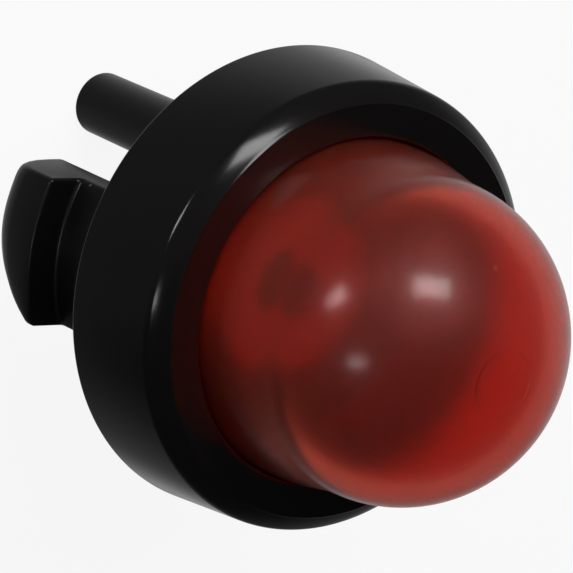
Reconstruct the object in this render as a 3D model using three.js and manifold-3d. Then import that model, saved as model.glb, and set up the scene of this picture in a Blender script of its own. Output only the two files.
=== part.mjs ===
// Snap-in fuel primer bulb: a red dome clamped by a black collar onto a base with two snap legs,
// two hose nipples and a one-piece umbrella and duckbill check valve.
// Millimetres. +Z runs along the bulb, out of the panel. The origin is the centre of the collar's rear
// face, which seats on the panel. The snap legs lie on +X and -X, and the inlet nipple on -Y.

import * as THREE from 'three';
import { mergeVertices, toCreasedNormals } from 'three/addons/utils/BufferGeometryUtils.js';
import Module from 'manifold-3d';

const wasm = await Module();
wasm.setup();

// Panel that the part snaps into
const PANEL_HOLE_RADIUS = 11.1;
const PANEL_GRIP = 6.0;                 // from the collar's seat to the hooks
const PANEL_CLEARANCE = 0.15;           // round the spigot and the legs

// Collar
const COLLAR_OVERLAP = 2.9;             // of the collar on the panel, beyond the hole
const COLLAR_WALL = 1.8;                // beside the counterbore, at the seat
const COLLAR_DRAFT = 3.9;               // degrees
const COLLAR_LIP = 3.1;                 // from the bulb's flange to the front face
const COLLAR_REAR_ROUND = 0.25;
const EDGE_ROUND = 0.8;                 // between the wall and the crown
const EDGE_DEPTH = 1.35;                // from the front face to the middle of that round
const CROWN_RADIUS = 4.6;               // of the bevel between the edge and the front face
const CROWN_START = 41;                 // degrees from the wall's side to where the crown starts
const MOUTH_ROUND = 0.2;                // where the bulb comes out of the front face
const BEAD_REACH = 0.35;                // how far the snap bead hooks under the base's flange
const BEAD_GAP = 0.05;                  // between the snap bead and the flange
const BEAD_LEAD = 0.2;

// Bulb
const BULB_FLANGE_CLEARANCE = 0.3;      // between its flange and the collar's counterbore
const BULB_FLANGE_WIDTH = 1.6;
const BULB_FLANGE_THICKNESS = 2.2;
const BULB_FLANGE_ROUND = 0.2;
const BULB_BORE_CLEARANCE = 0.12;       // between the bulb's root and the collar
const BULB_WALL = 1.3;
const BULB_TAPER = 0.6;                 // loss of radius from the root to the shoulder
const BULB_TAPER_RISE = 0.2;            // where the taper starts, above the collar
const BULB_STANDOUT = 5.4;              // where the barrel ends, above the collar
const BULB_DOME_HEIGHT = 9.45;
const SEAL_BEAD = 0.4;                  // half width and depth of the bead under the flange
const SEAL_CLEARANCE = 0.1;

// Base
const FLANGE_CLEARANCE = 0.15;          // between its flange and the collar's counterbore
const FLANGE_BOTTOM = 0.6;              // above the panel's face
const FLANGE_THICKNESS = 1.8;
const FLANGE_EMBED = 0.6;               // how far legs, nipple and web run up into what carries them
const SPIGOT_DEPTH = 1.6;               // below the panel's face
const SPIGOT_WALL = 1.55;               // of the spigot, and of the legs that continue it
const SPIGOT_CHAMFER = 0.3;

// Snap legs
const LEG_WIDTH = 8.9;
const LEG_CORNER = 0.8;                 // of the tip, on the side of the inlet nipple
const LEG_SWEEP_RADIUS = 7.0;           // of the tip, on the other side
const LEG_SWEEP_ANGLE = 67;             // degrees
const LEG_TIP_CHAMFER = 0.3;
const HOOK_REACH = 1.95;                // beyond the leg's outer wall
const HOOK_DEPTH = 5.0;                 // from the catch face to the leg's tip
const HOOK_NOSE_ROUND = 2.6;
const HOOK_EDGE_ROUND = 0.2;
const HOOK_ROOT_ROUND = 0.3;

// Nipples
const NIPPLE_RADIUS = 1.9;
const NIPPLE_DRAFT = 0.15;              // growth of the radius from tip to root
const NIPPLE_BORE_RADIUS = 0.95;
const NIPPLE_TIP_ROUND = 0.25;
const NIPPLE_ROOT_ROUND = 0.5;
const INLET_OFFSET = 5.6;               // of the inlet nipple from the middle
const INLET_REACH = 18.5;               // below the panel's face
const OUTLET_REACH = 13.0;
const BOSS_WALL = 0.8;                  // round the duckbill's chamber
const BOSS_END_WALL = 1.05;
const BOSS_CONE = 1.1;
const WEB_THICKNESS = 1.6;

// Valve
const VALVE_WALL = 0.65;                // of its stem and duckbill
const STEM_RADIUS = 1.75;
const STEM_CLEARANCE = 0.1;
const STEM_FLOOR = 1.4;                 // thickness of the floor that the stem grips
const STEM_BEAD_REACH = 0.45;
const STEM_BEAD_HEIGHT = 0.7;
const STEM_SEAT_GAP = 0.05;
const UMBRELLA_SEAL_WIDTH = 0.6;        // beyond the inlet groove
const UMBRELLA_RIM = 0.45;              // thickness at the edge
const UMBRELLA_RIM_WIDTH = 0.5;
const UMBRELLA_LIFT = 0.3;              // hollow under the umbrella, inside its sealing rim
const UMBRELLA_CROWN = 0.6;             // rise of the crown above the hollow
const BILL_LENGTH = 3.0;                // below the stem's bead
const BILL_LIP_SHARE = 0.2;             // thickness of the closed lips over the bill's width
const BILL_LIP_LAND = 0.35;             // solid stretch at the lips

// Valve seat and chamber
const POCKET_DEPTH = 1.2;               // of the valve's seat below the bulb's
const POCKET_CLEARANCE = 0.5;           // round the umbrella
const INLET_GROOVE_HALF_WIDTH = 1.2;
const INLET_GROOVE_DEPTH = 0.6;
const CHAMBER_CLEARANCE = 0.3;          // round the stem's bead
const CHAMBER_END_GAP = 0.6;            // below the duckbill's lips
const CHAMBER_CONE = 1.2;

// Facets round each piece
const COLLAR_FACETS = 56;
const BULB_FACETS = 48;
const BASE_FACETS = 48;
const NIPPLE_FACETS = 20;
const VALVE_FACETS = 32;

// Radii that several pieces share
const collarRadius = PANEL_HOLE_RADIUS + COLLAR_OVERLAP;
const counterboreRadius = collarRadius - COLLAR_WALL;
const flangeRadius = counterboreRadius - FLANGE_CLEARANCE;
const bulbFlangeRadius = counterboreRadius - BULB_FLANGE_CLEARANCE;
const bulbRootRadius = bulbFlangeRadius - BULB_FLANGE_WIDTH;
const bulbShoulderRadius = bulbRootRadius - BULB_TAPER;
const bulbMouthRadius = bulbRootRadius - BULB_WALL;
const sealRadius = (bulbMouthRadius + bulbFlangeRadius) / 2;
const spigotRadius = PANEL_HOLE_RADIUS - PANEL_CLEARANCE;
const spigotInner = spigotRadius - SPIGOT_WALL;
const nippleRootRadius = NIPPLE_RADIUS + NIPPLE_DRAFT;
const stemBeadRadius = STEM_RADIUS + STEM_BEAD_REACH;
const chamberRadius = stemBeadRadius + CHAMBER_CLEARANCE;
const bossRadius = chamberRadius + BOSS_WALL;
const inletGrooveOuter = INLET_OFFSET + INLET_GROOVE_HALF_WIDTH;
const inletGrooveInner = INLET_OFFSET - INLET_GROOVE_HALF_WIDTH;
const umbrellaRadius = inletGrooveOuter + UMBRELLA_SEAL_WIDTH;
const pocketRadius = umbrellaRadius + POCKET_CLEARANCE;

// Heights that several pieces share
const floorTop = FLANGE_BOTTOM + FLANGE_THICKNESS;
const clampTop = floorTop + BULB_FLANGE_THICKNESS;
const collarHeight = clampTop + COLLAR_LIP;
const taperStart = collarHeight + BULB_TAPER_RISE;
const shoulderHeight = collarHeight + BULB_STANDOUT;
const seatTop = floorTop - POCKET_DEPTH;
const plateBottom = FLANGE_BOTTOM - POCKET_DEPTH;
const chamberTop = seatTop - STEM_FLOOR;
const billTop = chamberTop - STEM_SEAT_GAP - STEM_BEAD_HEIGHT;
const billEnd = billTop - BILL_LENGTH;
const chamberEnd = billEnd - CHAMBER_END_GAP;
const bossEnd = chamberEnd - BOSS_END_WALL;

const blackPlastic = { color: 0x17130f, roughness: 0.32, metalness: 0.0 };

/** Points of a round stretch of a profile, as [radius, height] pairs. */
function arc(centreR, centreZ, radius, fromDeg, toDeg, steps) {
  return Array.from({ length: steps + 1 }, (_, i) => {
    const angle = THREE.MathUtils.degToRad(fromDeg + ((toDeg - fromDeg) * i) / steps);
    return [centreR + radius * Math.cos(angle), centreZ + radius * Math.sin(angle)];
  });
}

/** Merges shared corners and drops the triangles that collapse on the axis. */
function weld(geometry) {
  const bare = geometry.index ? geometry.toNonIndexed() : geometry.clone();
  bare.deleteAttribute('normal');
  bare.deleteAttribute('uv');
  const merged = mergeVertices(bare, 1e-5);
  const corners = merged.index.array;
  const kept = [];
  for (let i = 0; i < corners.length; i += 3) {
    const [a, b, c] = corners.slice(i, i + 3);
    if (a !== b && b !== c && c !== a) kept.push(a, b, c);
  }
  merged.setIndex(kept);
  return merged;
}

/** Revolves a profile of [radius, height] pairs about Z. The profile runs anticlockwise. */
function revolve(profile, facets) {
  const onAxis = profile[0][0] === 0;
  const outline = onAxis ? profile : [...profile, profile[0]];
  const points = outline.map(([r, z]) => new THREE.Vector2(r, z));
  return weld(new THREE.LatheGeometry(points, facets).rotateX(Math.PI / 2));
}

/** Turns a closed geometry into a solid that can be joined and cut. */
function solid(geometry) {
  return new wasm.Manifold(new wasm.Mesh({
    numProp: 3,
    vertProperties: new Float32Array(geometry.attributes.position.array),
    triVerts: new Uint32Array(geometry.index.array),
  }));
}

/** Turns a solid back into a geometry. */
function surface(body) {
  const mesh = body.getMesh();
  const geometry = new THREE.BufferGeometry();
  geometry.setAttribute('position', new THREE.BufferAttribute(mesh.vertProperties, 3));
  geometry.setIndex(new THREE.BufferAttribute(mesh.triVerts, 1));
  return geometry;
}

/** Wraps a geometry in a named mesh with creased shading. */
function piece(name, geometry, look) {
  const shaded = toCreasedNormals(geometry, THREE.MathUtils.degToRad(30));
  const mesh = new THREE.Mesh(shaded, new THREE.MeshStandardMaterial(look));
  mesh.name = name;
  return mesh;
}

/** Ring that clamps the bulb: snap bead, drafted wall, crowned edge and flat front face. */
function retainerCollar() {
  const draft = THREE.MathUtils.degToRad(COLLAR_DRAFT);
  const wallRadius = (height) => collarRadius - height * Math.tan(draft);
  const crownStart = THREE.MathUtils.degToRad(CROWN_START);
  const roundZ = collarHeight - EDGE_DEPTH;
  const roundR = wallRadius(roundZ + EDGE_ROUND * Math.sin(draft)) - EDGE_ROUND * Math.cos(draft);
  const crownR = roundR - (CROWN_RADIUS - EDGE_ROUND) * Math.cos(crownStart);
  const crownZ = roundZ - (CROWN_RADIUS - EDGE_ROUND) * Math.sin(crownStart);
  const crownEnd = THREE.MathUtils.radToDeg(Math.asin((collarHeight - crownZ) / CROWN_RADIUS));
  const beadRadius = flangeRadius - BEAD_REACH;
  const beadTop = FLANGE_BOTTOM - BEAD_GAP;
  const boreRadius = bulbRootRadius + BULB_BORE_CLEARANCE;
  const profile = [
    [beadRadius, BEAD_LEAD],
    [beadRadius + BEAD_LEAD, 0],
    ...arc(collarRadius - COLLAR_REAR_ROUND, COLLAR_REAR_ROUND, COLLAR_REAR_ROUND, -90, 0, 2),
    ...arc(roundR, roundZ, EDGE_ROUND, COLLAR_DRAFT, CROWN_START, 3),
    ...arc(crownR, crownZ, CROWN_RADIUS, CROWN_START, crownEnd, 3).slice(1),
    ...arc(boreRadius + MOUTH_ROUND, collarHeight - MOUTH_ROUND, MOUTH_ROUND, 90, 180, 2),
    [boreRadius, clampTop],
    [counterboreRadius, clampTop],
    [counterboreRadius, beadTop],
    [beadRadius + BEAD_LEAD / 2, beadTop],
    [beadRadius, beadTop - BEAD_LEAD / 2],
  ];
  return piece('retainer_collar', revolve(profile, COLLAR_FACETS), blackPlastic);
}

/** Outer surface of the bulb's barrel, from the start of its taper to just under the shoulder. */
function barrel(steps) {
  return Array.from({ length: steps }, (_, i) => {
    const share = i / steps;
    const radius = bulbShoulderRadius + (BULB_TAPER / 2) * (1 + Math.cos(Math.PI * share));
    return [radius, THREE.MathUtils.lerp(taperStart, shoulderHeight, share)];
  });
}

/** Quarter ellipse of the dome, from its shoulder to the pole, at a depth below the outer skin. */
function domeArc(depth, steps) {
  const radius = bulbShoulderRadius - depth;
  const height = BULB_DOME_HEIGHT - depth;
  return Array.from({ length: steps + 1 }, (_, i) => {
    const angle = (Math.PI / 2) * (i / steps);
    const r = i === steps ? 0 : radius * Math.cos(angle);
    return [r, shoulderHeight + height * Math.sin(angle)];
  });
}

/** Hollow bulb, open below, with a flange that carries a sealing bead. */
function primerDome() {
  const outer = barrel(3);
  const inner = outer.map(([r, z]) => [r - BULB_WALL, z]).reverse();
  const profile = [
    ...domeArc(BULB_WALL, 6).reverse(),
    ...inner,
    [bulbMouthRadius, floorTop],
    ...arc(sealRadius, floorTop, SEAL_BEAD, 180, 360, 4),
    [bulbFlangeRadius, floorTop],
    [bulbFlangeRadius, clampTop - BULB_FLANGE_ROUND],
    [bulbFlangeRadius - BULB_FLANGE_ROUND, clampTop],
    [bulbRootRadius, clampTop],
    ...outer,
    ...domeArc(0, 8),
  ];
  const look = { color: 0xa8201a, roughness: 0.28, metalness: 0.0, transparent: true, opacity: 0.8 };
  return piece('primer_dome', revolve(profile, BULB_FACETS), look);
}

/** Turned body of the base: outlet nipple, boss, spigot, clamp flange, grooves, pocket and chamber. */
function baseCore() {
  const tipRound = NIPPLE_TIP_ROUND;
  const sealGroove = SEAL_BEAD + SEAL_CLEARANCE;
  const inletFloor = seatTop - INLET_GROOVE_DEPTH;
  const stemHole = STEM_RADIUS + STEM_CLEARANCE;
  const profile = [
    [NIPPLE_BORE_RADIUS, -OUTLET_REACH],
    ...arc(NIPPLE_RADIUS - tipRound, tipRound - OUTLET_REACH, tipRound, -90, 0, 2),
    [nippleRootRadius, bossEnd - BOSS_CONE],
    [bossRadius, bossEnd],
    [bossRadius, plateBottom - NIPPLE_ROOT_ROUND],
    [bossRadius + NIPPLE_ROOT_ROUND, plateBottom],
    [spigotInner, plateBottom],
    [spigotInner, -SPIGOT_DEPTH],
    [spigotRadius - SPIGOT_CHAMFER, -SPIGOT_DEPTH],
    [spigotRadius, SPIGOT_CHAMFER - SPIGOT_DEPTH],
    [spigotRadius, FLANGE_BOTTOM],
    [flangeRadius, FLANGE_BOTTOM],
    [flangeRadius, floorTop],
    [sealRadius + sealGroove, floorTop],
    [sealRadius + sealGroove, floorTop - sealGroove],
    [sealRadius - sealGroove, floorTop - sealGroove],
    [sealRadius - sealGroove, floorTop],
    [pocketRadius, floorTop],
    [pocketRadius, seatTop],
    [inletGrooveOuter, seatTop],
    [inletGrooveOuter, inletFloor],
    [inletGrooveInner, inletFloor],
    [inletGrooveInner, seatTop],
    [stemHole, seatTop],
    [stemHole, chamberTop],
    [chamberRadius, chamberTop],
    [chamberRadius, chamberEnd],
    [NIPPLE_BORE_RADIUS, chamberEnd - CHAMBER_CONE],
  ];
  return solid(revolve(profile, BASE_FACETS));
}

/** Inlet nipple without its bore, standing down from the floor. */
function inletNipple() {
  const tipRound = NIPPLE_TIP_ROUND;
  const rootRound = NIPPLE_ROOT_ROUND;
  const profile = [
    [0, -INLET_REACH],
    ...arc(NIPPLE_RADIUS - tipRound, tipRound - INLET_REACH, tipRound, -90, 0, 2),
    ...arc(nippleRootRadius + rootRound, plateBottom - rootRound, rootRound, 180, 90, 2),
    [nippleRootRadius + rootRound, plateBottom + FLANGE_EMBED],
    [0, plateBottom + FLANGE_EMBED],
  ];
  return solid(revolve(profile, NIPPLE_FACETS).translate(0, -INLET_OFFSET, 0));
}

/** Bore of the inlet nipple, from below its tip into the groove under the umbrella. */
function inletBore() {
  const top = seatTop - INLET_GROOVE_DEPTH / 2;
  const bottom = -INLET_REACH - NIPPLE_RADIUS;
  const profile = [[0, bottom], [NIPPLE_BORE_RADIUS, bottom], [NIPPLE_BORE_RADIUS, top], [0, top]];
  return solid(revolve(profile, NIPPLE_FACETS).translate(0, -INLET_OFFSET, 0));
}

/** Web from the middle of the boss's wall to the middle of the inlet nipple's wall. */
function nippleWeb() {
  const near = (chamberRadius + bossRadius) / 2;
  const far = INLET_OFFSET - (NIPPLE_BORE_RADIUS + NIPPLE_RADIUS) / 2;
  const height = plateBottom + FLANGE_EMBED - bossEnd;
  const web = new THREE.BoxGeometry(WEB_THICKNESS, far - near, height);
  web.translate(0, -(near + far) / 2, bossEnd + height / 2);
  return solid(weld(web));
}

/** Both snap legs: a hooked ring, trimmed to the legs' outline seen from the side. */
function snapLegs() {
  const embedTop = FLANGE_BOTTOM + FLANGE_EMBED;
  const hookRadius = spigotRadius + HOOK_REACH;
  const tip = -PANEL_GRIP - HOOK_DEPTH;
  const ring = revolve([
    [spigotInner + LEG_TIP_CHAMFER, tip],
    ...arc(hookRadius - HOOK_NOSE_ROUND, tip + HOOK_NOSE_ROUND, HOOK_NOSE_ROUND, -90, 0, 5),
    ...arc(hookRadius - HOOK_EDGE_ROUND, -PANEL_GRIP - HOOK_EDGE_ROUND, HOOK_EDGE_ROUND, 0, 90, 1),
    [spigotRadius + HOOK_ROOT_ROUND, -PANEL_GRIP],
    [spigotRadius, HOOK_ROOT_ROUND - PANEL_GRIP],
    [spigotRadius, embedTop],
    [spigotInner, embedTop],
    [spigotInner, tip + LEG_TIP_CHAMFER],
  ], BASE_FACETS);
  const half = LEG_WIDTH / 2;
  const sweep = THREE.MathUtils.degToRad(LEG_SWEEP_ANGLE);
  const sweepY = half - LEG_SWEEP_RADIUS * Math.sin(sweep);
  const outline = new THREE.Shape()
    .moveTo(half, embedTop)
    .lineTo(-half, embedTop)
    .lineTo(-half, tip + LEG_CORNER)
    .absarc(LEG_CORNER - half, tip + LEG_CORNER, LEG_CORNER, Math.PI, 1.5 * Math.PI, false)
    .absarc(sweepY, tip + LEG_SWEEP_RADIUS, LEG_SWEEP_RADIUS, 1.5 * Math.PI, 1.5 * Math.PI + sweep, false);
  const reach = 2 * hookRadius + LEG_WIDTH;
  const trim = new THREE.ExtrudeGeometry(outline, { depth: reach, bevelEnabled: false, curveSegments: 6 });
  trim.translate(0, 0, -reach / 2).rotateX(Math.PI / 2).rotateZ(Math.PI / 2);
  return solid(ring).intersect(solid(weld(trim)));
}

/** One-piece moulded base. */
function baseBody() {
  const body = baseCore().add(snapLegs()).add(inletNipple()).add(nippleWeb()).subtract(inletBore());
  return piece('base_body', surface(body), blackPlastic);
}

/** Flattens the duckbill towards its lips, which close along Y. */
function closeBill(geometry) {
  const position = geometry.attributes.position;
  for (let i = 0; i < position.count; i += 1) {
    const share = THREE.MathUtils.clamp((billTop - position.getZ(i)) / BILL_LENGTH, 0, 1);
    position.setX(i, position.getX(i) * (1 - (1 - BILL_LIP_SHARE) * share));
  }
  return geometry;
}

/** Domed top of the umbrella, from its rim in to the stem. */
function umbrellaTop(steps) {
  const rimTop = seatTop + UMBRELLA_RIM;
  const rise = UMBRELLA_LIFT + UMBRELLA_CROWN - UMBRELLA_RIM;
  return Array.from({ length: steps + 1 }, (_, i) => {
    const share = i / steps;
    const radius = THREE.MathUtils.lerp(umbrellaRadius, STEM_RADIUS, share);
    return [radius, rimTop + rise * (1 - (1 - share) ** 2)];
  });
}

/** Soft valve in one piece: umbrella, stem, retaining bead and duckbill. */
function checkValve() {
  const rimInner = umbrellaRadius - UMBRELLA_RIM_WIDTH;
  const beadTop = chamberTop - STEM_SEAT_GAP;
  const hollowTop = seatTop + UMBRELLA_LIFT;
  const boreRadius = STEM_RADIUS - VALVE_WALL;
  const profile = [
    [0, billEnd],
    [STEM_RADIUS, billEnd],
    [STEM_RADIUS, (billTop + billEnd) / 2],
    [STEM_RADIUS, billTop],
    [stemBeadRadius, billTop + STEM_BEAD_HEIGHT / 2],
    [stemBeadRadius, beadTop],
    [STEM_RADIUS, beadTop],
    [STEM_RADIUS, hollowTop],
    [rimInner, hollowTop],
    [rimInner, seatTop],
    [umbrellaRadius, seatTop],
    ...umbrellaTop(3),
    [boreRadius, hollowTop + UMBRELLA_CROWN],
    [boreRadius, billTop],
    [boreRadius, billEnd + BILL_LIP_LAND],
    [0, billEnd + BILL_LIP_LAND],
  ];
  const look = { color: 0x2a2623, roughness: 0.6, metalness: 0.0 };
  return piece('check_valve', closeBill(revolve(profile, VALVE_FACETS)), look);
}

const primerBulb = new THREE.Group();
primerBulb.name = 'primer_bulb';
primerBulb.add(retainerCollar(), primerDome(), baseBody(), checkValve());

export default primerBulb;
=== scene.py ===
"""Looks of a snap-in fuel primer bulb, dressed round its fixed frame.

Lengths of the pieces and the camera are in millimetres, and MM turns them into metres. Lengths of finishes,
lamps and the floor are in metres.
"""

import logging
import math
from dataclasses import dataclass, field
from enum import Enum
from typing import Callable, Iterable, Sequence

import bmesh
import bpy
from mathutils import Matrix, Quaternion, Vector


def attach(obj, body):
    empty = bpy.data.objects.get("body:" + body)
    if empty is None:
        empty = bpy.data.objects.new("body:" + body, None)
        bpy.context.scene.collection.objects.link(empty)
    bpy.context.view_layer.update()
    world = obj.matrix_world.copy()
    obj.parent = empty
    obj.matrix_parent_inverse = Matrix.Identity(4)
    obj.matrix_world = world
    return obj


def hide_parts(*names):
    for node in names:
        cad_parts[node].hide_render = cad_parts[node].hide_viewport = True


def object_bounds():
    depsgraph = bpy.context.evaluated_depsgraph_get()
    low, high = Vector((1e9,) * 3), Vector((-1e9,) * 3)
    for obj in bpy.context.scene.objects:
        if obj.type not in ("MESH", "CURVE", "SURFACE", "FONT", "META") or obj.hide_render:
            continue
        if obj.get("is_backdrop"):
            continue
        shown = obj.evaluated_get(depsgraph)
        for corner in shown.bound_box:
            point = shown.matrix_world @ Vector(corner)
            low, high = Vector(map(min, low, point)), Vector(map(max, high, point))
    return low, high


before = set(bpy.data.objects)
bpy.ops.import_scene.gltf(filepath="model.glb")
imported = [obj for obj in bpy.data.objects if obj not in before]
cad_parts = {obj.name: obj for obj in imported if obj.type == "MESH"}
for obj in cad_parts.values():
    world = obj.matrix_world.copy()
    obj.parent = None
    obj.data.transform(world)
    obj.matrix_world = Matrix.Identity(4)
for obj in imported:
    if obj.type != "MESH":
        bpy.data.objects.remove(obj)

MM = 0.001
ROOT_BODY = "root"
LOG = logging.getLogger("primer_bulb")

WELD = 1e-7
ON_AXIS = 1e-6
CREASE = 32.0

Point = tuple[float, float]
Spot = tuple[float, float, float]
Colour = tuple[float, float, float, float]
Move = Callable[[float, float, float], Spot]


class Slot(Enum):
    """Material slots of the record."""

    COLLAR = "collar_plastic"
    BASE = "base_plastic"
    BULB = "bulb_rubber"
    VALVE = "valve_rubber"


class Side(Enum):
    """The two snap legs, by the sign of X."""

    FRONT = 1.0
    REAR = -1.0


def linear(red: int, green: int, blue: int) -> Colour:
    """Turns a colour written as 0 to 255 display values into linear light.

    Args:
        red: display red.
        green: display green.
        blue: display blue.

    Returns:
        Linear red, green and blue, and an alpha of 1.
    """
    def straighten(value: int) -> float:
        """Undoes the display curve for one channel."""
        share = value / 255
        return share / 12.92 if share <= 0.04045 else ((share + 0.055) / 1.055) ** 2.4

    return straighten(red), straighten(green), straighten(blue), 1.0


def rounded(corners: Sequence[Spot], closed: bool = True, steps: int = 6) -> list[Point]:
    """Rounds the corners of an outline.

    Args:
        corners: radius, height and fillet of each corner, in order.
        closed: whether the last corner joins the first.
        steps: facets in each fillet.

    Returns:
        The outline's points, with an arc in place of each filleted corner.
    """
    count = len(corners)
    points: list[Point] = []
    for i, (x, z, fillet) in enumerate(corners):
        inside = closed or 0 < i < count - 1
        if fillet <= 0 or not inside:
            points.append((x, z))
            continue
        here = Vector((x, z))
        before = (Vector(corners[i - 1][:2]) - here).normalized()
        after = (Vector(corners[(i + 1) % count][:2]) - here).normalized()
        half = before.angle(after) / 2
        reach = fillet / math.tan(half)
        centre = here + (before + after).normalized() * (fillet / math.sin(half))
        start, end = here + before * reach - centre, here + after * reach - centre
        turn = start.angle_signed(end)
        for step in range(steps + 1):
            angle = -turn * step / steps
            spoke = Matrix.Rotation(angle, 2) @ start
            points.append(tuple(centre + spoke))
    return points


def arc(centre: Vector, radius: float, start: float, end: float, steps: int) -> list[Point]:
    """Round stretch of an outline.

    Args:
        centre: radius and height of its centre.
        radius: its radius.
        start: angle in radians where it starts, from the outward direction towards +Z.
        end: angle where it ends.
        steps: facets in it.

    Returns:
        The arc's points.
    """
    angles = [start + (end - start) * i / steps for i in range(steps + 1)]
    return [(centre.x + radius * math.cos(a), centre.y + radius * math.sin(a)) for a in angles]


def ellipse_arc(centre_z: float, radius: float, height: float, steps: int) -> list[Point]:
    """Quarter ellipse from the equator to the pole.

    Args:
        centre_z: height of the equator.
        radius: half width at the equator.
        height: rise of the pole above the equator.
        steps: facets in the quarter.

    Returns:
        The arc's points; the last lies on the axis.
    """
    angles = [math.pi / 2 * i / steps for i in range(steps + 1)]
    points = [(radius * math.cos(a), centre_z + height * math.sin(a)) for a in angles]
    points[-1] = (0.0, centre_z + height)
    return points


def finished_mesh(name: str, build: bmesh.types.BMesh, crease: float = CREASE) -> bpy.types.Object:
    """Closes a mesh build: outward faces, smooth shading with creases, and an object in the scene.

    Args:
        name: the object's name.
        build: the mesh being built, in metres; it is freed.
        crease: angle in degrees above which an edge stays sharp.

    Returns:
        The new object.
    """
    bmesh.ops.remove_doubles(build, verts=build.verts, dist=WELD)
    bmesh.ops.recalc_face_normals(build, faces=build.faces)
    mesh = bpy.data.meshes.new(name)
    build.to_mesh(mesh)
    build.free()
    shade(mesh, crease)
    made = bpy.data.objects.new(name, mesh)
    bpy.context.scene.collection.objects.link(made)
    return made


def shade(mesh: bpy.types.Mesh, crease: float) -> None:
    """Shades a mesh smooth and keeps the edges that turn by more than the crease angle sharp.

    Args:
        mesh: the mesh to shade.
        crease: the angle in degrees.
    """
    work = bmesh.new()
    work.from_mesh(mesh)
    limit = math.radians(crease)
    for face in work.faces:
        face.smooth = True
    for edge in work.edges:
        edge.smooth = len(edge.link_faces) == 2 and edge.calc_face_angle(0.0) < limit
    work.to_mesh(mesh)
    work.free()


def turned(name: str, outline: Sequence[Point], facets: int, crease: float = CREASE,
           move: Move | None = None) -> bpy.types.Object:
    """Revolves an outline about Z.

    Args:
        name: the object's name.
        outline: radius and height of each point; it closes on itself or starts and ends on the axis.
        facets: facets round the axis.
        crease: angle in degrees above which an edge stays sharp.
        move: places a point given in millimetres; left out, points stay.

    Returns:
        The closed mesh as an object.
    """
    build = bmesh.new()
    rings: list[list[bmesh.types.BMVert]] = []
    for radius, height in outline:
        turns = 1 if radius <= ON_AXIS else facets
        ring = []
        for i in range(turns):
            angle = 2 * math.pi * i / facets
            spot = (radius * math.cos(angle), radius * math.sin(angle), height)
            ring.append(build.verts.new(Vector(move(*spot) if move else spot) * MM))
        rings.append(ring)
    on_axis = len(rings[0]) == 1 and len(rings[-1]) == 1
    pairs = list(zip(rings, rings[1:])) + ([] if on_axis else [(rings[-1], rings[0])])
    for low, high in pairs:
        for i in range(facets):
            j = (i + 1) % facets
            quad = [low[i % len(low)], low[j % len(low)], high[j % len(high)], high[i % len(high)]]
            corners = list(dict.fromkeys(quad))
            if len(corners) > 2:
                build.faces.new(corners)
    return finished_mesh(name, build, crease)


def joined(keep: bpy.types.Object, others: Iterable[tuple[str, bpy.types.Object]], crease: float) -> None:
    """Joins or cuts solids into one closed mesh.

    Args:
        keep: the solid that is changed.
        others: the operation, UNION or DIFFERENCE, and the solid for it; each is removed afterwards.
        crease: angle in degrees above which an edge stays sharp.
    """
    tools = list(others)
    for operation, tool in tools:
        step = keep.modifiers.new(operation.lower(), "BOOLEAN")
        step.operation = operation
        step.solver = "EXACT"
        step.object = tool
    graph = bpy.context.evaluated_depsgraph_get()
    graph.update()
    solid = bpy.data.meshes.new_from_object(keep.evaluated_get(graph))
    keep.modifiers.clear()
    keep.data = solid
    shade(solid, crease)
    for _, tool in tools:
        bpy.data.objects.remove(tool)


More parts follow.
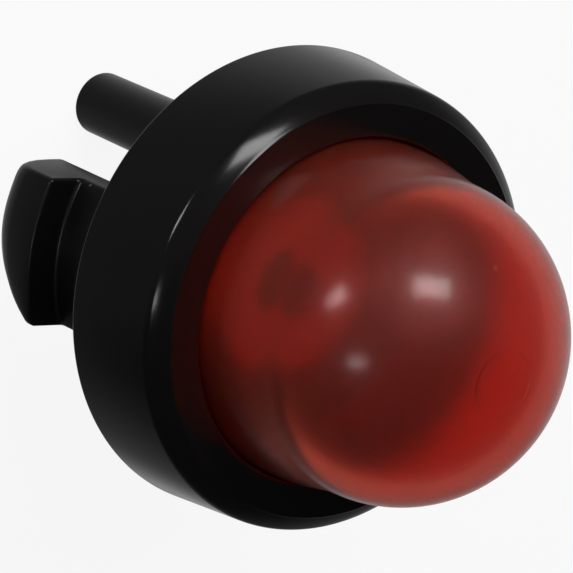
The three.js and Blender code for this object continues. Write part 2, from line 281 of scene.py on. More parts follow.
class NodeTree:
    """Short ways to add and wire shader nodes."""

    def __init__(self, tree: bpy.types.NodeTree) -> None:
        """Holds the tree that nodes are added to."""
        self.tree = tree

    def add(self, kind: str, settings: dict | None = None, **inputs: object) -> bpy.types.Node:
        """Adds a node.

        Args:
            kind: the node's class name without the ShaderNode prefix.
            settings: attributes of the node.
            inputs: sockets by name, with _ for a space; a value sets one and a socket is wired to it.

        Returns:
            The node.
        """
        node = self.tree.nodes.new(f"ShaderNode{kind}")
        for key, value in (settings or {}).items():
            setattr(node, key, value)
        for key, value in inputs.items():
            self.put(node.inputs[key.replace("_", " ")], value)
        return node

    def put(self, socket: bpy.types.NodeSocket, value: object) -> None:
        """Wires a socket to another, or sets its value.

        Args:
            socket: the input socket.
            value: an output socket to wire to it, or its value.
        """
        if isinstance(value, bpy.types.NodeSocket):
            self.tree.links.new(value, socket)
        else:
            socket.default_value = value

    def maths(self, operation: str, *values: object, clamp: bool = False) -> bpy.types.NodeSocket:
        """Adds a maths node.

        Args:
            operation: the node's operation.
            values: its numbers, each a value or a socket.
            clamp: whether the result is kept from 0 to 1.

        Returns:
            The result.
        """
        node = self.add("Math", {"operation": operation, "use_clamp": clamp})
        self.fill(node, values)
        return node.outputs[0]

    def vector(self, operation: str, *values: object) -> bpy.types.Node:
        """Adds a vector maths node.

        Args:
            operation: the node's operation.
            values: its vectors, each a value or a socket.

        Returns:
            The node.
        """
        node = self.add("VectorMath", {"operation": operation})
        self.fill(node, values)
        return node

    def mixed(self, share: object, first: bpy.types.Node, second: bpy.types.Node) -> bpy.types.Node:
        """Mixes two shaders.

        Args:
            share: the second shader's share.
            first: the node of the first shader.
            second: the node of the second shader.

        Returns:
            The node of the mixed shader.
        """
        node = self.add("MixShader")
        self.fill(node, (share, first.outputs[0], second.outputs[0]))
        return node

    def fill(self, node: bpy.types.Node, values: Iterable[object]) -> None:
        """Sets or wires a node's inputs in their order.

        Args:
            node: the node.
            values: one value or socket for each input.
        """
        for socket, value in zip(node.inputs, values):
            self.put(socket, value)

    def ramp(self, value: object, low: float, high: float, to_low: float = 0.0,
             to_high: float = 1.0) -> bpy.types.NodeSocket:
        """Maps a value smoothly from one range to another and clamps it.

        Args:
            value: the value or socket to map.
            low: start of its range.
            high: end of its range.
            to_low: result at the start.
            to_high: result at the end.

        Returns:
            The mapped value.
        """
        node = self.add("MapRange", {"interpolation_type": "SMOOTHSTEP"}, Value=value)
        for key, number in {"From Min": low, "From Max": high, "To Min": to_low, "To Max": to_high}.items():
            node.inputs[key].default_value = number
        return node.outputs["Result"]

    def blend(self, share: object, first: object, second: object) -> bpy.types.NodeSocket:
        """Mixes two colours.

        Args:
            share: the second colour's share.
            first: the first colour.
            second: the second colour.

        Returns:
            The mixed colour.
        """
        node = self.add("Mix", {"data_type": "RGBA"})
        self.put(node.inputs["Factor"], share)
        self.put(node.inputs[6], first)
        self.put(node.inputs[7], second)
        return node.outputs[2]

    def group(self, group: bpy.types.NodeTree, **inputs: object) -> bpy.types.Node:
        """Places a node group.

        Args:
            group: the group.
            inputs: its inputs by name, with _ for a space.

        Returns:
            The group's node.
        """
        node = self.add("Group", {"node_tree": group})
        for key, value in inputs.items():
            self.put(node.inputs[key.replace("_", " ")], value)
        return node


class EffectGroup:
    """Node group of one effect, with numbers in and masks or values out."""

    def __init__(self, name: str, inputs: dict[str, float], outputs: Sequence[str]) -> None:
        """Starts the group.

        Args:
            name: the group's name.
            inputs: number inputs, with their defaults.
            outputs: number outputs.
        """
        self.group = bpy.data.node_groups.new(name, "ShaderNodeTree")
        self.tree = NodeTree(self.group)
        for key, value in inputs.items():
            socket = self.group.interface.new_socket(key, in_out="INPUT", socket_type="NodeSocketFloat")
            socket.default_value = value
        for key in outputs:
            self.group.interface.new_socket(key, in_out="OUTPUT", socket_type="NodeSocketFloat")
        self.given = self.group.nodes.new("NodeGroupInput").outputs
        self.out = self.group.nodes.new("NodeGroupOutput").inputs
        self.place = self.tree.add("TexCoord").outputs["Object"]


class SharedEffects:
    """Node groups that the finishes draw on."""

    def __init__(self) -> None:
        """Builds each group once."""
        self.grain = self.moulded_grain()
        self.ring = self.ring_mark()
        self.specks = self.stray_specks()

    @staticmethod
    def moulded_grain() -> bpy.types.NodeTree:
        """Fine grain of a moulded skin, with slow changes of gloss.

        Returns:
            A group with Height and Roughness outputs.
        """
        effect = EffectGroup(
            "moulded_grain",
            {"Fine Scale": 2500.0, "Slow Scale": 160.0, "Roughness": 0.3, "Spread": 0.05},
            ("Height", "Roughness"),
        )
        tree, given = effect.tree, effect.given
        fine = tree.add("TexNoise", Vector=effect.place, Scale=given["Fine Scale"], Detail=3.0)
        slow = tree.add("TexNoise", Vector=effect.place, Scale=given["Slow Scale"], Detail=4.0)
        swing = tree.maths("MULTIPLY_ADD", slow.outputs["Fac"], 2.0, -1.0)
        gloss = tree.maths("MULTIPLY_ADD", swing, given["Spread"], given["Roughness"])
        tree.put(effect.out["Height"], fine.outputs["Fac"])
        tree.put(effect.out["Roughness"], gloss)
        return effect.group

    @staticmethod
    def ring_mark() -> bpy.types.NodeTree:
        """Band round the axis at a radius and a height, such as a witness line.

        Returns:
            A group with a Mask output.
        """
        effect = EffectGroup(
            "ring_mark", {"Radius": 0.01, "Height": 0.0, "Width": 0.0002, "Reach": 0.001}, ("Mask",),
        )
        tree, given = effect.tree, effect.given
        parts = tree.add("SeparateXYZ", Vector=effect.place).outputs
        squares = [tree.maths("POWER", parts[axis], 2.0) for axis in "XY"]
        radius = tree.maths("SQRT", tree.maths("ADD", *squares))
        aside = tree.maths("ABSOLUTE", tree.maths("SUBTRACT", radius, given["Radius"]))
        above = tree.maths("ABSOLUTE", tree.maths("SUBTRACT", parts["Z"], given["Height"]))
        across = tree.maths("SUBTRACT", 1.0, tree.maths("DIVIDE", aside, given["Width"]), clamp=True)
        along = tree.maths("SUBTRACT", 1.0, tree.maths("DIVIDE", above, given["Reach"]), clamp=True)
        tree.put(effect.out["Mask"], tree.maths("MULTIPLY", across, along))
        return effect.group

    @staticmethod
    def stray_specks() -> bpy.types.NodeTree:
        """Sparse small specks.

        Returns:
            A group with a Mask output.
        """
        effect = EffectGroup("stray_specks", {"Scale": 400.0, "Size": 0.05, "Share": 0.06}, ("Mask",))
        tree, given = effect.tree, effect.given
        cells = tree.add("TexVoronoi", Vector=effect.place, Scale=given["Scale"])
        near = tree.maths("LESS_THAN", cells.outputs["Distance"], given["Size"])
        pick = tree.add("SeparateColor", Color=cells.outputs["Color"]).outputs["Red"]
        rare = tree.maths("LESS_THAN", pick, given["Share"])
        tree.put(effect.out["Mask"], tree.maths("MULTIPLY", near, rare))
        return effect.group


def new_material(name: str) -> tuple[bpy.types.Material, NodeTree, bpy.types.Node]:
    """Starts a material.

    Args:
        name: the material's name.

    Returns:
        The material, a wiring helper, and its principled shader.
    """
    made = bpy.data.materials.new(name)
    made.use_nodes = True
    tree = NodeTree(made.node_tree)
    return made, tree, made.node_tree.nodes["Principled BSDF"]


@dataclass(frozen=True)
class MouldedFinish:
    """Grain and stray specks that each moulded skin has."""

    name: str
    roughness: float = 0.16
    spread: float = 0.05
    fine_scale: float = 3200.0
    slow_scale: float = 220.0
    grain_depth: float = 0.000004
    grain_strength: float = 0.35
    speck_colour: Colour = linear(70, 66, 62)
    speck_scale: float = 900.0
    speck_size: float = 0.09
    speck_share: float = 0.03

    def skin(self, tree: NodeTree, effects: SharedEffects) -> tuple[bpy.types.Node, bpy.types.Node]:
        """Places the grain and the specks.

        Args:
            tree: the material's nodes.
            effects: the shared node groups.

        Returns:
            The nodes of the grain and the specks.
        """
        grain = tree.group(effects.grain, Fine_Scale=self.fine_scale, Slow_Scale=self.slow_scale,
                           Roughness=self.roughness, Spread=self.spread)
        specks = tree.group(effects.specks, Scale=self.speck_scale, Size=self.speck_size,
                            Share=self.speck_share)
        return grain, specks


@dataclass(frozen=True)
class BlackPlastic(MouldedFinish):
    """Satin black moulded plastic."""

    colour: Colour = linear(14, 12, 12)
    ior: float = 1.45

    def build(self, effects: SharedEffects) -> bpy.types.Material:
        """Builds the material.

        Args:
            effects: the shared node groups.

        Returns:
            The material.
        """
        made, tree, shader = new_material(self.name)
        grain, specks = self.skin(tree, effects)
        skin = tree.blend(specks.outputs["Mask"], self.colour, self.speck_colour)
        tree.put(shader.inputs["Base Color"], skin)
        tree.put(shader.inputs["Roughness"], grain.outputs["Roughness"])
        shader.inputs["IOR"].default_value = self.ior
        bump = tree.add("Bump", Height=grain.outputs["Height"], Strength=self.grain_strength,
                        Distance=self.grain_depth)
        tree.put(shader.inputs["Normal"], bump.outputs["Normal"])
        return made


@dataclass(frozen=True)
class RedElastomer(MouldedFinish):
    """Translucent red moulded elastomer of the bulb."""

    root_colour: Colour = linear(214, 82, 56)
    tip_colour: Colour = linear(213, 80, 66)
    blend_low: float = 0.010
    blend_high: float = 0.021
    mark_colour: Colour = linear(150, 16, 18)
    mark_share: float = 0.35
    pole_radius: float = 0.0020
    pole_height: float = 0.0225
    pole_width: float = 0.00012
    pole_reach: float = 0.001
    speck_colour: Colour = linear(250, 190, 170)
    speck_tint: float = 0.5
    speck_scale: float = 260.0
    speck_size: float = 0.06
    speck_share: float = 0.05
    fine_scale: float = 1400.0
    slow_scale: float = 120.0
    roughness: float = 0.2
    spread: float = 0.03
    grain_share: float = 0.15
    grain_depth: float = 0.00003
    grain_strength: float = 0.5
    ior: float = 1.42
    transmission: float = 0.9
    scatter_radius: Spot = (1.0, 0.25, 0.15)
    scatter_scale: float = 0.002
    coat: float = 0.5
    coat_roughness: float = 0.42

    def build(self, effects: SharedEffects) -> bpy.types.Material:
        """Builds the material.

        Args:
            effects: the shared node groups.

        Returns:
            The material.
        """
        made, tree, shader = new_material(self.name)
        place = tree.add("TexCoord").outputs["Object"]
        height = tree.add("SeparateXYZ", Vector=place).outputs["Z"]
        rise = tree.ramp(height, self.blend_low, self.blend_high)
        grain, specks = self.skin(tree, effects)
        pole = tree.group(effects.ring, Radius=self.pole_radius, Height=self.pole_height,
                          Width=self.pole_width, Reach=self.pole_reach)
        body = tree.blend(rise, self.root_colour, self.tip_colour)
        mark = tree.maths("MULTIPLY", pole.outputs["Mask"], self.mark_share)
        marked = tree.blend(mark, body, self.mark_colour)
        fleck = tree.maths("MULTIPLY", specks.outputs["Mask"], self.speck_tint)
        tree.put(shader.inputs["Base Color"], tree.blend(fleck, marked, self.speck_colour))
        tree.put(shader.inputs["Roughness"], grain.outputs["Roughness"])
        shader.inputs["IOR"].default_value = self.ior
        shader.inputs["Transmission Weight"].default_value = self.transmission
        shader.inputs["Subsurface Weight"].default_value = 1.0
        shader.inputs["Subsurface Radius"].default_value = self.scatter_radius
        shader.inputs["Subsurface Scale"].default_value = self.scatter_scale
        shader.inputs["Coat Weight"].default_value = self.coat
        shader.inputs["Coat Roughness"].default_value = self.coat_roughness
        relief = tree.maths("MULTIPLY_ADD", grain.outputs["Height"], self.grain_share, pole.outputs["Mask"])
        bump = tree.add("Bump", Height=relief, Strength=self.grain_strength, Distance=self.grain_depth)
        tree.put(shader.inputs["Normal"], bump.outputs["Normal"])
        return made


@dataclass(frozen=True)
class ValveElastomer(MouldedFinish):
    """Soft amber elastomer of the valve; its rim is darker, partly from the thin umbrella over the black
    base and partly painted shade, and painted shade lies over its bore.
    """

    colour: Colour = linear(250, 150, 60)
    # Dark brown of the thin umbrella rim over the black base, also used as painted shade at the rim and
    # over the bore.
    thin_rim_and_shade_colour: Colour = linear(46, 30, 24)
    thick_lit_radius: float = 0.0046
    thin_shaded_radius: float = 0.0060
    # Radius and blur of the painted shade over the bore.
    bore_shade_radius: float = 0.0017
    bore_shade_blur: float = 1.25
    speck_colour: Colour = linear(120, 70, 40)
    speck_size: float = 0.1
    speck_share: float = 0.04
    fine_scale: float = 2400.0
    slow_scale: float = 300.0
    roughness: float = 0.5
    spread: float = 0.06
    grain_depth: float = 0.00001
    grain_strength: float = 0.4

    def build(self, effects: SharedEffects) -> bpy.types.Material:
        """Builds the material.

        Args:
            effects: the shared node groups.

        Returns:
            The material.
        """
        made, tree, shader = new_material(self.name)
        grain, specks = self.skin(tree, effects)
        place = tree.add("TexCoord").outputs["Object"]
        flat = tree.vector("MULTIPLY", place, (1.0, 1.0, 0.0))
        radius = tree.vector("LENGTH", flat.outputs["Vector"]).outputs["Value"]
        # Painted shade: the rim darkens outward, partly from the thin umbrella over the black base and
        # partly standing in for the collar's shade.
        thin_shaded_rim = tree.ramp(radius, self.thick_lit_radius, self.thin_shaded_radius)
        # Painted shade over the bore: darkest inside the bore radius, fading out across the blur.
        painted_bore_shade = tree.ramp(radius, self.bore_shade_radius, self.bore_shade_blur * self.bore_shade_radius, 1.0, 0.0)
        body = tree.blend(tree.maths("MAXIMUM", thin_shaded_rim, painted_bore_shade), self.colour, self.thin_rim_and_shade_colour)
        skin = tree.blend(specks.outputs["Mask"], body, self.speck_colour)
        tree.put(shader.inputs["Base Color"], skin)
        tree.put(shader.inputs["Roughness"], grain.outputs["Roughness"])
        bump = tree.add("Bump", Height=grain.outputs["Height"], Strength=self.grain_strength,
                        Distance=self.grain_depth)
        tree.put(shader.inputs["Normal"], bump.outputs["Normal"])
        return made


def dress(made: bpy.types.Object, node: str, material: bpy.types.Material) -> None:
    """Gives a piece its material and ties it to the frame.

    Args:
        made: the piece.
        node: the CAD node that it stands for.
        material: its finish.
    """
    made.data.materials.clear()
    made.data.materials.append(material)
    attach(made, ROOT_BODY)
    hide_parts(node)
    LOG.info("%s: %d faces", made.name, len(made.data.polygons))


@dataclass
class Levels:
    """Heights and radii where the pieces meet, in millimetres."""

    floor_top: float = 2.4
    seat_top: float = 1.2
    flange_bottom: float = 0.6
    plate_bottom: float = -0.6
    clamp_top: float = 4.6
    collar_top: float = 7.7
    counterbore: float = 12.2
    bulb_root: float = 10.3
    spigot: float = 10.95
    leg_inner: float = 9.4
    seal_radius: float = 10.45
    seal_bead: float = 0.4


@dataclass
class Collar:
    """Ring that clamps the bulb."""

    levels: Levels
    seat_radius: float = 14.0
    draft: float = math.radians(3.9)
    rear_round: float = 0.25
    edge_round: float = 0.8
    edge_depth: float = 1.35
    crown_radius: float = 4.6
    crown_start: float = math.radians(41)
    mouth_round: float = 0.2
    bore_gap: float = 0.12
    bead_radius: float = 11.7
    bead_top: float = 0.55
    bead_round: float = 0.15
    facets: int = 288

    def outline(self) -> list[Point]:
        """Section of the ring.

        Returns:
            Its points, from the outer wall over the face and back under the seat.
        """
        lv, small = self.levels, 0.05
        bore = lv.bulb_root + self.bore_gap
        edge = Vector((0.0, lv.collar_top - self.edge_depth))
        tangent = edge.y + self.edge_round * math.sin(self.draft)
        edge.x = self.seat_radius - tangent * math.tan(self.draft) - self.edge_round * math.cos(self.draft)
        way = Vector((math.cos(self.crown_start), math.sin(self.crown_start)))
        crown = edge - (self.crown_radius - self.edge_round) * way
        top = lv.collar_top - small
        crown_end = math.asin((top - crown.y) / self.crown_radius)
        face = crown.x + self.crown_radius * math.cos(crown_end) - small
        return [
            *arc(edge, self.edge_round, self.draft, self.crown_start, 10),
            *arc(crown, self.crown_radius, self.crown_start, crown_end, 10)[1:],
            (face, lv.collar_top),
            *arc(Vector((bore + self.mouth_round, lv.collar_top - self.mouth_round)), self.mouth_round,
                 math.pi / 2, math.pi, 6),
            (bore, lv.clamp_top),
            (lv.counterbore, lv.clamp_top),
            (lv.counterbore, self.bead_top),
            (self.bead_radius, self.bead_top),
            *arc(Vector((self.bead_radius + self.bead_round, self.bead_round)), self.bead_round,
                 math.pi, 1.5 * math.pi, 5),
            *arc(Vector((self.seat_radius - self.rear_round, self.rear_round)), self.rear_round,
                 -math.pi / 2, self.draft, 6),
        ]

    def build(self, finish: bpy.types.Material) -> None:
        """Builds and dresses the collar."""
        made = turned("collar_ring", self.outline(), self.facets)
        dress(made, "retainer_collar", finish)


@dataclass
class Bulb:
    """Hollow dome with its clamped flange."""

    levels: Levels
    wall: float = 1.3
    taper: float = 0.6
    taper_rise: float = 0.2
    standout: float = 5.4
    dome_height: float = 9.45
    flange_radius: float = 11.9
    seat_gap: float = 0.02
    facets: int = 256

    @property
    def shoulder(self) -> float:
        """Height where the barrel turns into the dome."""
        return self.levels.collar_top + self.standout

    @property
    def pole(self) -> float:
        """Height of the dome's pole."""
        return self.shoulder + self.dome_height

    def barrel(self, inset: float, steps: int = 12) -> list[Point]:
        """Barrel from the start of its taper to just under the shoulder.

        Args:
            inset: depth below the skin.
            steps: facets in its height.

        Returns:
            The barrel's points.
        """
        start = self.levels.collar_top + self.taper_rise
        narrow = self.levels.bulb_root - self.taper
        points = []
        for i in range(steps):
            share = i / steps
            radius = narrow + self.taper / 2 * (1 + math.cos(math.pi * share))
            points.append((radius - inset, start + (self.shoulder - start) * share))
        return points

    def outline(self) -> list[Point]:
        """Section of the wall.

        Returns:
            Its points, from the pole's inner skin round the flange to its outer skin.
        """
        lv = self.levels
        narrow = lv.bulb_root - self.taper
        low, high = lv.floor_top + self.seat_gap, lv.clamp_top - self.seat_gap
        inner = ellipse_arc(self.shoulder, narrow - self.wall, self.dome_height - self.wall, 40)
        outer = ellipse_arc(self.shoulder, narrow, self.dome_height, 48)
        bead = [(lv.seal_radius - lv.seal_bead * math.cos(math.pi * i / 8),
                 low - lv.seal_bead * math.sin(math.pi * i / 8)) for i in range(9)]
        flange = rounded([
            (self.flange_radius, low, 0.15), (self.flange_radius, high, 0.2),
            (lv.bulb_root, high, 0.15), (lv.bulb_root, lv.collar_top, 0.0),
        ], closed=False)
        return [*reversed(inner), *reversed(self.barrel(self.wall)), (lv.bulb_root - self.wall, low),
                *bead, *flange, *self.barrel(0.0), *outer]

    def build(self, finish: bpy.types.Material) -> None:
        """Builds and dresses the bulb."""
        made = turned("bulb_dome", self.outline(), self.facets, crease=40.0)
        dress(made, "primer_dome", finish)


@dataclass
class SnapLeg:
    """Hooked leg that holds the panel."""

    levels: Levels
    side: Side
    width: float = 8.9
    corner: float = 0.8
    sweep_radius: float = 7.0
    sweep_angle: float = math.radians(67)
    edge_round: float = 0.22
    grip: float = 6.0
    hook_reach: float = 1.95
    hook_depth: float = 5.0
    nose_round: float = 2.6
    top: float = 1.2
    edge_steps: int = 5
    middle_steps: int = 40
    corner_steps: tuple[float, ...] = (0.02, 0.08, 0.14)

    def section(self) -> list[Point]:
        """Section of the leg.

        Returns:
            Radius and height of its points.
        """
        lv = self.levels
        hook, tip = lv.spigot + self.hook_reach, -self.grip - self.hook_depth
        return rounded([
            (lv.leg_inner, tip, 0.3),
            (hook, tip, self.nose_round),
            (hook, -self.grip, 0.2),
            (lv.spigot, -self.grip, 0.3),
            (lv.spigot, self.top, 0.0),
            (lv.leg_inner, self.top, 0.0),
        ], steps=6)

    def lift(self, y: float) -> float:
        """How far the tip stands back, for its corner and its swept side.

        Args:
            y: place across the leg.

        Returns:
            The tip's lift there.
        """
        half = self.width / 2
        corner = max(0.0, -y - (half - self.corner))
        sweep = max(0.0, y - (half - self.sweep_radius * math.sin(self.sweep_angle)))
        return (self.corner - math.sqrt(max(0.0, self.corner ** 2 - corner ** 2))
                + self.sweep_radius - math.sqrt(self.sweep_radius ** 2 - sweep ** 2))

    def stations(self) -> list[tuple[float, float]]:
        """Places across the leg where its section stands.

        Returns:
            Each place with the inset that rounds the leg's side edges there.
        """
        half, fillet, count = self.width / 2, self.edge_round, self.middle_steps
        turns = [math.pi / 2 * i / self.edge_steps for i in range(self.edge_steps + 1)]
        edge = [(half - fillet * (1 - math.sin(t)), fillet * (1 - math.cos(t))) for t in turns]
        inner = half - fillet
        middle = [(-inner + 2 * inner * i / count, 0.0) for i in range(1, count)]
        corner = [(-inner + step, 0.0) for step in self.corner_steps]
        spots = [(-y, inset) for y, inset in edge] + corner + middle + edge
        return sorted(spots)

    def solid(self) -> bpy.types.Object:
        """Builds the leg.

        Returns:
            Its closed mesh as an object.
        """
        points = [Vector(p) for p in self.section()]
        count = len(points)
        inward = []
        for i, here in enumerate(points):
            along = (points[(i + 1) % count] - points[i - 1]).normalized()
            inward.append(Vector((-along.y, along.x)))
        build, rings = bmesh.new(), []
        for y, inset in self.stations():
            squeeze = 1 - self.lift(y) / self.hook_depth
            ring = []
            for here, turn in zip(points, inward):
                radius, height = here + turn * inset
                if height < -self.grip:
                    height = -self.grip + (height + self.grip) * squeeze
                x = math.sqrt(radius * radius - y * y) * self.side.value
                ring.append(build.verts.new(Vector((x, y, height)) * MM))
            rings.append(ring)
        for low, high in zip(rings, rings[1:]):
            for i in range(count):
                j = (i + 1) % count
                build.faces.new((low[i], low[j], high[j], high[i]))
        build.faces.new(rings[0])
        build.faces.new(rings[-1])
        return finished_mesh(f"leg_{self.side.name.lower()}", build)


@dataclass
class Nipple:
    """Sizes of the two straight hose nipples."""

    radius: float = 1.9
    draft: float = 0.15
    bore: float = 0.95
    tip_round: float = 0.25
    root_round: float = 0.5
    offset: float = 5.6
    inlet_reach: float = 18.5
    outlet_reach: float = 13.0
    facets: int = 96


@dataclass
class Base:
    """One-piece base: clamp flange, spigot, legs, boss and nipples."""

    levels: Levels
    nipple: Nipple = field(default_factory=Nipple)
    flange_radius: float = 12.05
    spigot_depth: float = 1.6
    spigot_skin: float = 0.03
    embed: float = 0.6
    boss_radius: float = 3.3
    boss_end: float = -5.6
    boss_cone: float = 1.1
    chamber_radius: float = 2.5
    chamber_top: float = -0.2
    chamber_end: float = -4.55
    chamber_cone: float = 1.2
    stem_hole: float = 1.85
    groove_radius: float = 5.6
    groove_half: float = 1.2
    groove_depth: float = 0.6
    pocket_radius: float = 7.9
    web_thickness: float = 1.6
    seal_gap: float = 0.1
    root_flare: float = 1.2
    facets: int = 192
    crease: float = 30.0

    def core(self) -> bpy.types.Object:
        """Turned body with the outlet nipple, the boss and the valve seat.

        Returns:
            The body as an object.
        """
        lv, np = self.levels, self.nipple
        seal = lv.seal_bead + self.seal_gap
        low = self.spigot_skin
        outline = rounded([
            (np.bore, -np.outlet_reach, 0.1),
            (np.radius, -np.outlet_reach, np.tip_round),
            (np.radius + np.draft, self.boss_end - self.boss_cone, 0.4),
            (self.boss_radius, self.boss_end, 0.4),
            (self.boss_radius, lv.plate_bottom, np.root_round),
            (lv.leg_inner + low, lv.plate_bottom, 0.3),
            (lv.leg_inner + low, -self.spigot_depth, 0.15),
            (lv.spigot - low, -self.spigot_depth, 0.3),
            (lv.spigot - low, lv.flange_bottom, 0.1),
            (self.flange_radius, lv.flange_bottom, 0.12),
            (self.flange_radius, lv.floor_top, 0.12),
            (lv.seal_radius + seal, lv.floor_top, 0.05),
            (lv.seal_radius + seal, lv.floor_top - seal, 0.1),
            (lv.seal_radius - seal, lv.floor_top - seal, 0.1),
            (lv.seal_radius - seal, lv.floor_top, 0.05),
            (self.pocket_radius, lv.floor_top, 0.15),
            (self.pocket_radius, lv.seat_top, 0.15),
            (self.groove_radius + self.groove_half, lv.seat_top, 0.05),
            (self.groove_radius + self.groove_half, lv.seat_top - self.groove_depth, 0.1),
            (self.groove_radius - self.groove_half, lv.seat_top - self.groove_depth, 0.1),
            (self.groove_radius - self.groove_half, lv.seat_top, 0.05),
            (self.stem_hole, lv.seat_top, 0.05),
            (self.stem_hole, self.chamber_top, 0.0),
            (self.chamber_radius, self.chamber_top, 0.0),
            (self.chamber_radius, self.chamber_end, 0.3),
            (np.bore, self.chamber_end - self.chamber_cone, 0.3),
        ], steps=5)
        return turned("base_moulding", outline, self.facets, self.crease)

    def inlet(self) -> bpy.types.Object:
        """Inlet nipple, without its bore.

        Returns:
            The nipple as an object.
        """
        np, lv = self.nipple, self.levels
        root = np.radius + np.draft
        flare = root + self.root_flare * np.root_round
        outline = rounded([
            (0.0, -np.inlet_reach, 0.0),
            (np.radius, -np.inlet_reach, np.tip_round),
            (root, lv.plate_bottom, np.root_round),
            (flare, lv.plate_bottom, 0.0),
            (flare, lv.plate_bottom + self.embed, 0.0),
            (0.0, lv.plate_bottom + self.embed, 0.0),
        ], closed=False)
        return turned("inlet_nipple", outline, np.facets, self.crease,
                      move=lambda x, y, z: (x, y - np.offset, z))

    def inlet_bore(self) -> bpy.types.Object:
        """Straight bore of the inlet nipple.

        Returns:
            A solid of the bore's room.
        """
        np, lv = self.nipple, self.levels
        top, bottom = lv.seat_top - self.groove_depth / 2, -np.inlet_reach - np.radius
        outline = [(0.0, bottom), (np.bore, bottom), (np.bore, top), (0.0, top)]
        return turned("inlet_bore", outline, np.facets, self.crease,
                      move=lambda x, y, z: (x, y - np.offset, z))

    def web(self) -> bpy.types.Object:
        """Web between the boss and the inlet nipple.

        Returns:
            The web as an object.
        """
        np, lv = self.nipple, self.levels
        near = (self.chamber_radius + self.boss_radius) / 2
        far = np.offset - (np.bore + np.radius) / 2
        top, low, half = lv.plate_bottom + self.embed, self.boss_end, self.web_thickness / 2
        build = bmesh.new()
        bmesh.ops.create_cube(build, size=1.0)
        for vert in build.verts:
            x, y, z = vert.co
            vert.co = Vector((2 * half * x, -(near + far) / 2 + (far - near) * y,
                              (top + low) / 2 + (top - low) * z)) * MM
        return finished_mesh("nipple_web", build)

    def build(self, finish: bpy.types.Material) -> None:
        """Builds and dresses the base.

        Args:
            finish: its material.
        """
        made = self.core()
        legs = [("UNION", SnapLeg(self.levels, side).solid()) for side in Side]
        joined(made, [*legs, ("UNION", self.inlet()), ("UNION", self.web()),
                      ("DIFFERENCE", self.inlet_bore())], self.crease)
        dress(made, "base_body", finish)


@dataclass
class Valve:
    """One-piece umbrella and duckbill valve."""

    levels: Levels
    wall: float = 0.65
    stem: float = 1.75
    stem_bead: float = 2.2
    stem_bead_height: float = 0.7
    bead_top: float = -0.25
    umbrella: float = 7.4
    rim: float = 0.45
    rim_width: float = 0.5
    lift: float = 0.3
    crown: float = 0.6
    crown_near: float = 0.25
    crown_far: float = 0.2
    bill_length: float = 3.0
    lip_share: float = 0.2
    lip_land: float = 0.35
    seat_gap: float = 0.02
    crown_steps: int = 10
    bill_steps: int = 8
    facets: int = 128

    def close_bill(self, x: float, y: float, z: float) -> Spot:
        """Flattens the bill towards its lips.

        Args:
            x: place along X.
            y: place along Y.
            z: height.

        Returns:
            The place on the flattened bill.
        """
        top = self.bead_top - self.stem_bead_height
        share = min(1.0, max(0.0, (top - z) / self.bill_length))
        return x * (1 - (1 - self.lip_share) * share), y, z

    def outline(self) -> list[Point]:
        """Section of the valve before its bill is flattened.

        Returns:
            Its points, from the bill's end over the umbrella and back down the bore.
        """
        lv = self.levels
        floor = lv.seat_top + self.seat_gap
        hollow = floor + self.lift
        top = self.bead_top - self.stem_bead_height
        end = top - self.bill_length
        bore = self.stem - self.wall
        near, far = self.stem + self.crown_near, self.umbrella - self.crown_far
        rise = self.lift + self.crown - self.rim
        shares = [1 - i / self.crown_steps for i in range(self.crown_steps + 1)]
        crown = [(near + (far - near) * s, floor + self.rim + rise * (1 - s ** 2)) for s in shares]
        rim = rounded([
            (self.stem, top + 0.5 * self.stem_bead_height, 0.0),
            (self.stem_bead, top + 0.5 * self.stem_bead_height, 0.1),
            (self.stem_bead, self.bead_top, 0.1),
            (self.stem, self.bead_top, 0.0),
            (self.stem, hollow, 0.1),
            (self.umbrella - self.rim_width, hollow, 0.1),
            (self.umbrella - self.rim_width, floor, 0.05),
            (self.umbrella, floor, 0.08),
            (self.umbrella, floor + self.rim, 0.15),
            crown[0] + (0.0,),
        ], closed=False, steps=4)
        count = self.bill_steps
        bill = [(self.stem, end + (top - end) * i / count) for i in range(count + 1)]
        lip = rounded([
            crown[-1] + (0.0,),
            (bore + 0.05, hollow + self.crown, 0.12),
            (bore, hollow, 0.0),
        ], closed=False, steps=4)
        return [(0.0, end), *bill, *rim, *crown[1:-1], *lip, (bore, top), (bore, (top + end) / 2),
                (bore, end + self.lip_land), (0.0, end + self.lip_land)]

    def build(self, finish: bpy.types.Material) -> None:
        """Builds and dresses the valve."""
        made = turned("umbrella_valve", self.outline(), self.facets, crease=35.0, move=self.close_bill)
        dress(made, "check_valve", finish)


@dataclass(frozen=True)
class SoftLamp:
    """Rectangular lamp, placed by its direction from the part, with its roll in degrees."""

    name: str
    direction: Spot
    width: float
    height: float
    power: float
    distance: float = 0.3
    roll: float = 0.0
    glossy: bool = True


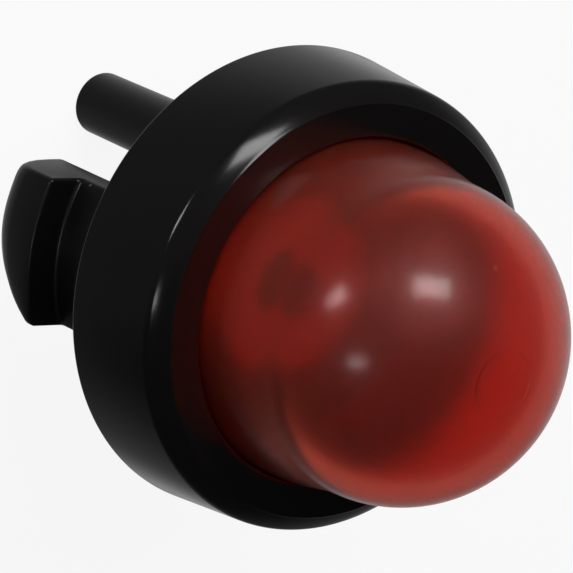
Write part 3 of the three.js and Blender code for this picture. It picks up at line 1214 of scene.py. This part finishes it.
@dataclass
class Studio:
    """Floor, background, lamps and camera."""

    focal: float = 440.0
    sensor: float = 36.0
    distance: float = 410.2
    tilt: float = math.radians(40.86)
    lean: float = math.radians(24.91)
    leg_turn: float = math.radians(21.0)
    frame_px: float = 573.0
    origin_px: Point = (267.56, 275.57)
    clip: Point = (0.01, 10.0)
    floor_radius: float = 2.5
    floor_white: float = 0.9
    floor_glow: float = 0.9
    card_reach: Point = (-0.99, -0.82)
    card_light: Point = (0.15, 0.0)
    room_reach: Point = (-0.95, -0.25)
    room_light: Point = (0.38, 0.09)
    shade_reach: Point = (-0.4, 0.0)
    shade_light: Point = (0.4, 1.0)
    aim: Spot = (0.0, 0.0, 0.012)
    lamps: tuple[SoftLamp, ...] = (
        SoftLamp("key_window", (0.192, -0.747, 0.636), 0.12, 0.067, 0.22, roll=-30),
        SoftLamp("side_window", (0.896, -0.436, -0.078), 0.072, 0.048, 0.1, roll=-41),
        SoftLamp("side_spot", (0.841, -0.538, -0.065), 0.008, 0.008, 0.004),
        SoftLamp("low_window", (0.898, 0.136, 0.419), 0.061, 0.032, 0.035, roll=97),
        SoftLamp("overhead", (0.2, -0.75, 0.55), 0.4, 0.4, 0.85, glossy=False),
    )

    def build(self) -> None:
        """Builds the whole studio."""
        self.floor()
        self.world()
        for lamp in self.lamps:
            self.lamp(lamp)
        self.camera()
        bpy.context.scene.view_settings.view_transform = "Standard"

    def axes(self) -> Matrix:
        """Directions of the camera in the part's frame.

        Returns:
            Its right, up and back, as rows.
        """
        ct, st = math.cos(self.tilt), math.sin(self.tilt)
        cl, sl = math.cos(self.lean), math.sin(self.lean)
        out = Vector((st * cl, -st * sl, ct))
        facing = Vector((-ct * cl, ct * sl, st))
        across = Vector((-sl, -cl, 0.0))
        cr, sr = math.cos(self.leg_turn), math.sin(self.leg_turn)
        along_x = cr * facing + sr * across
        along_y = -sr * facing + cr * across
        return Matrix((along_x, along_y, out)).transposed()

    def camera(self) -> None:
        """Places the camera so that the part lies in the frame as in the photograph."""
        turn = self.axes()
        data = bpy.data.cameras.new("camera")
        data.lens = self.focal
        data.sensor_width = self.sensor
        data.clip_start, data.clip_end = self.clip
        made = bpy.data.objects.new("camera", data)
        bpy.context.scene.collection.objects.link(made)
        pixel = self.sensor / self.frame_px / self.focal * self.distance
        half = self.frame_px / 2
        across, down = self.origin_px
        origin = Vector(((across - half) * pixel, (half - down) * pixel, -self.distance))
        back_turn = turn.transposed()
        made.matrix_world = Matrix.Translation(back_turn @ -origin * MM) @ back_turn.to_4x4()
        bpy.context.scene.camera = made

    def floor(self) -> None:
        """Pale floor under the part, unseen from below and in reflections."""
        low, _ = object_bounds()
        build = bmesh.new()
        bmesh.ops.create_circle(build, cap_ends=True, segments=96, radius=self.floor_radius)
        for vert in build.verts:
            vert.co.z = low.z
        made = finished_mesh("floor", build)
        finish, tree, shader = new_material("pale_floor")
        shader.inputs["Base Color"].default_value = (*[self.floor_white] * 3, 1.0)
        shader.inputs["Roughness"].default_value = 0.9
        shader.inputs["Specular IOR Level"].default_value = 0.0
        glow = tree.add("Emission", Color=(1.0, 1.0, 1.0, 1.0), Strength=1.0)
        path = tree.add("LightPath")
        seen = tree.maths("MULTIPLY", path.outputs["Is Camera Ray"], self.floor_glow)
        lit = tree.mixed(seen, shader, glow)
        under = tree.add("NewGeometry").outputs["Backfacing"]
        unseen = tree.maths("MAXIMUM", under, path.outputs["Is Glossy Ray"])
        sided = tree.mixed(unseen, lit, tree.add("BsdfTransparent"))
        output = next(n for n in tree.tree.nodes if n.type == "OUTPUT_MATERIAL")
        tree.put(output.inputs["Surface"], sided.outputs["Shader"])
        made.data.materials.append(finish)
        made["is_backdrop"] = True

    def world(self) -> None:
        """White background, and a studio that is pale behind the part and darker towards the camera."""
        world = bpy.data.worlds.new("studio")
        bpy.context.scene.world = world
        world.use_nodes = True
        tree = NodeTree(world.node_tree)
        tree.tree.nodes.clear()
        looking = tree.add("TexCoord").outputs["Generated"]
        _, upward, back = self.axes()
        away, above = (tree.vector("DOT_PRODUCT", looking, tuple(axis)).outputs["Value"]
                       for axis in (back, upward))
        card = tree.ramp(away, *self.card_reach, *self.card_light)
        shade_below = tree.ramp(above, *self.shade_reach, *self.shade_light)
        lit = tree.ramp(away, *self.room_reach, *self.room_light)
        room = tree.maths("MULTIPLY", lit, shade_below)
        path = tree.add("LightPath")
        direct = tree.maths("LESS_THAN", path.outputs["Diffuse Depth"], 0.5)
        through = tree.maths("MULTIPLY", path.outputs["Is Transmission Ray"], direct)
        white = tree.maths("MAXIMUM", path.outputs["Is Camera Ray"], through)
        mirrored = tree.maths("MULTIPLY", path.outputs["Is Glossy Ray"], card)
        strength = tree.add("Mix", {"data_type": "FLOAT"})
        tree.put(strength.inputs["Factor"], white)
        tree.put(strength.inputs[2], tree.maths("ADD", room, mirrored))
        tree.put(strength.inputs[3], 1.0)
        shell = tree.add("Background", Color=(1.0, 1.0, 1.0, 1.0), Strength=strength.outputs[0])
        tree.put(tree.add("OutputWorld").inputs["Surface"], shell.outputs["Background"])

    def lamp(self, lamp: SoftLamp) -> None:
        """Places one lamp, aimed at the part.

        Args:
            lamp: its place, size and power.
        """
        data = bpy.data.lights.new(lamp.name, "AREA")
        data.shape = "RECTANGLE"
        data.size, data.size_y = lamp.width, lamp.height
        data.energy = lamp.power
        made = bpy.data.objects.new(lamp.name, data)
        bpy.context.scene.collection.objects.link(made)
        way = Vector(lamp.direction).normalized()
        made.location = Vector(self.aim) + way * lamp.distance
        made.rotation_mode = "QUATERNION"
        made.rotation_quaternion = (way.to_track_quat("Z", "Y")
                                    @ Quaternion((0.0, 0.0, 1.0), math.radians(lamp.roll)))
        made.visible_camera = False
        made.visible_glossy = lamp.glossy


def main() -> None:
    """Builds the part and its studio."""
    logging.basicConfig(level=logging.INFO, format="%(name)s: %(message)s")
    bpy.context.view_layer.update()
    levels = Levels()
    effects = SharedEffects()
    Collar(levels).build(BlackPlastic("collar_black").build(effects))
    Base(levels).build(BlackPlastic("base_black", roughness=0.3).build(effects))
    Valve(levels).build(ValveElastomer("valve_amber").build(effects))
    Bulb(levels).build(RedElastomer("bulb_red").build(effects))
    Studio().build()


if __name__ == "__main__":
    main()
